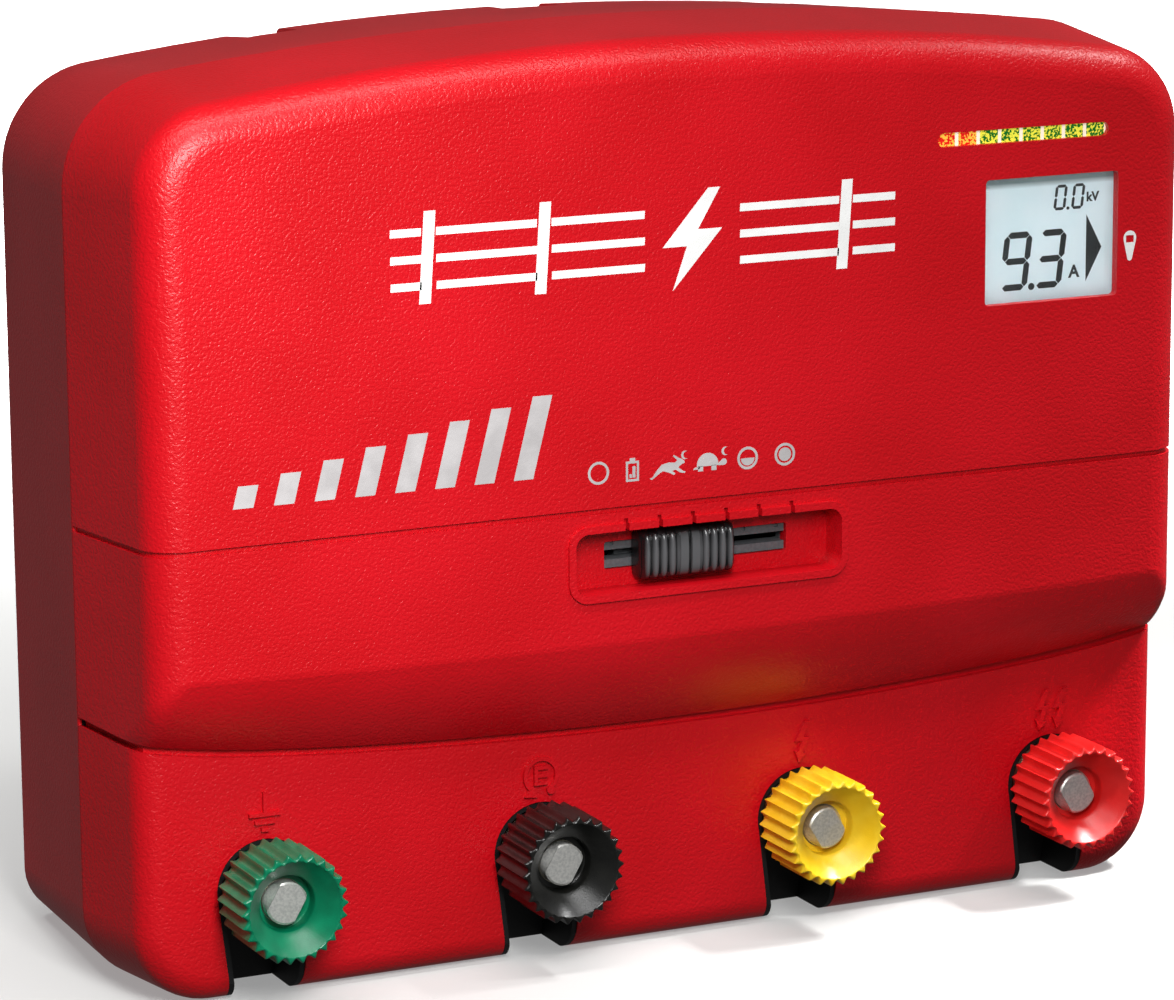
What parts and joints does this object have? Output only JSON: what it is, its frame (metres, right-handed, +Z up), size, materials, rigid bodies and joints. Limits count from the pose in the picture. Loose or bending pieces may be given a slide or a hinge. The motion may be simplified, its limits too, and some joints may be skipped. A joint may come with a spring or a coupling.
{
  "type": "electric fence charger",
  "caption": "Wall-hung electric fence charger in a two-part moulded case with arched top, light bar, small display, mode slider and screw terminals.",
  "frame": {"origin": "middle of the bounding box at the flat base", "axes": "+X to the viewer's right, +Y to the rear (the wall side), +Z up; knobs and display face -Y"},
  "size_m": [0.272, 0.1046, 0.2145],
  "materials": {
    "red_case_plastic": "fine spark-eroded grain",
    "gasket_rubber": "matte",
    "zinc_steel": "bright zinc",
    "black_plastic": "satin",
    "slider_grey": "satin",
    "nickel_brass": "nickel plated",
    "stud_steel": "sawn and deburred",
    "tinned_copper": "tinned",
    "spring_steel": "polished",
    "lead_sheath": "insulation",
    "knob_green": "satin",
    "knob_black": "satin",
    "knob_yellow": "satin",
    "knob_red": "satin",
    "clear_lens": "clear",
    "lcd_glass": "liquid crystal, reflective",
    "led_lamps": "diffused",
    "circuit_board": "solder mask",
    "ribbon_grey": "insulation",
    "capacitor_wrap": "shrink sleeve",
    "plated_strap": "bright zinc",
    "lamination_steel": "varnished",
    "copper_winding": "tape wrap",
    "ferrite": "matte",
    "heat_sink_metal": "extruded",
    "moulded_package": "moulded",
    "fuse_glass": "clear"
  },
  "bodies": {
    "case": {"rear_case": "red_case_plastic", "front_cover": "red_case_plastic", "case_gasket": "gasket_rubber", "case_screws": "zinc_steel", "track_screws": "zinc_steel", "display_screws": "zinc_steel", "board_screws": "zinc_steel", "thyristor_screw": "zinc_steel", "transformer_bolts": "zinc_steel", "stud_nuts": "zinc_steel", "power_inlet": "black_plastic", "terminal_block": "black_plastic", "slider_track": "black_plastic", "ribbon_connectors": "black_plastic", "transformer_bobbin": "black_plastic", "lcd_holder": "black_plastic", "inlet_pins": "nickel_brass", "stud_seats": "nickel_brass", "terminal_studs": "stud_steel", "ring_lugs": "tinned_copper", "fuse_clips": "tinned_copper", "output_leads": "lead_sheath", "inlet_leads": "lead_sheath", "lcd_window": "clear_lens", "led_light_pipe": "clear_lens", "lcd_module": "lcd_glass", "led_array": "led_lamps", "display_board": "circuit_board", "main_board": "circuit_board", "ribbon_cable": "ribbon_grey", "storage_capacitors": "capacitor_wrap", "surge_arrestors": "capacitor_wrap", "capacitor_strap": "plated_strap", "transformer_brackets": "plated_strap", "transformer_core": "lamination_steel", "transformer_winding": "copper_winding", "charge_winding": "copper_winding", "charge_core": "ferrite", "heat_sink": "heat_sink_metal", "thyristor": "moulded_package", "fuse": "fuse_glass"},
    "mode_slide": {"mode_slider": "slider_grey", "slider_carriage": "black_plastic", "detent_spring": "spring_steel", "slider_contact": "tinned_copper"},
    "green_clamp": {"washer_green": "nickel_brass"},
    "green_knob": {"knob_green": "knob_green", "insert_green": "nickel_brass"},
    "black_clamp": {"washer_black": "nickel_brass"},
    "black_knob": {"knob_black": "knob_black", "insert_black": "nickel_brass"},
    "yellow_clamp": {"washer_yellow": "nickel_brass"},
    "yellow_knob": {"knob_yellow": "knob_yellow", "insert_yellow": "nickel_brass"},
    "red_clamp": {"washer_red": "nickel_brass"},
    "red_knob": {"knob_red": "knob_red", "insert_red": "nickel_brass"}
  },
  "joints": [
    {"name": "mode_select", "type": "slide", "parent": "case", "child": "mode_slide", "axis": [1, 0, 0], "range_m": [-0.01692, 0.02538]},
    {"name": "green_clamp_travel", "type": "slide", "parent": "case", "child": "green_clamp", "axis": [0, -1, 0], "range_m": [0, 0.00601]},
    {"name": "green_knob_turn", "type": "hinge", "parent": "green_clamp", "child": "green_knob", "pos_m": [-0.102, -0.04275, 0.0255], "axis": [0, -1, 0], "range_deg": [0, 1440]},
    {"name": "black_clamp_travel", "type": "slide", "parent": "case", "child": "black_clamp", "axis": [0, -1, 0], "range_m": [0, 0.00601]},
    {"name": "black_knob_turn", "type": "hinge", "parent": "black_clamp", "child": "black_knob", "pos_m": [-0.034, -0.04275, 0.0255], "axis": [0, -1, 0], "range_deg": [0, 1440]},
    {"name": "yellow_clamp_travel", "type": "slide", "parent": "case", "child": "yellow_clamp", "axis": [0, -1, 0], "range_m": [0, 0.00601]},
    {"name": "yellow_knob_turn", "type": "hinge", "parent": "yellow_clamp", "child": "yellow_knob", "pos_m": [0.034, -0.04275, 0.0255], "axis": [0, -1, 0], "range_deg": [0, 1440]},
    {"name": "red_clamp_travel", "type": "slide", "parent": "case", "child": "red_clamp", "axis": [0, -1, 0], "range_m": [0, 0.00601]},
    {"name": "red_knob_turn", "type": "hinge", "parent": "red_clamp", "child": "red_knob", "pos_m": [0.102, -0.04275, 0.0255], "axis": [0, -1, 0], "range_deg": [0, 1440]}
  ],
  "couplings": [
    {"joint": "green_clamp_travel", "follows": "green_knob_turn", "m_per_rad": 0.00023873},
    {"joint": "black_clamp_travel", "follows": "black_knob_turn", "m_per_rad": 0.00023873},
    {"joint": "yellow_clamp_travel", "follows": "yellow_knob_turn", "m_per_rad": 0.00023873},
    {"joint": "red_clamp_travel", "follows": "red_knob_turn", "m_per_rad": 0.00023873}
  ]
}
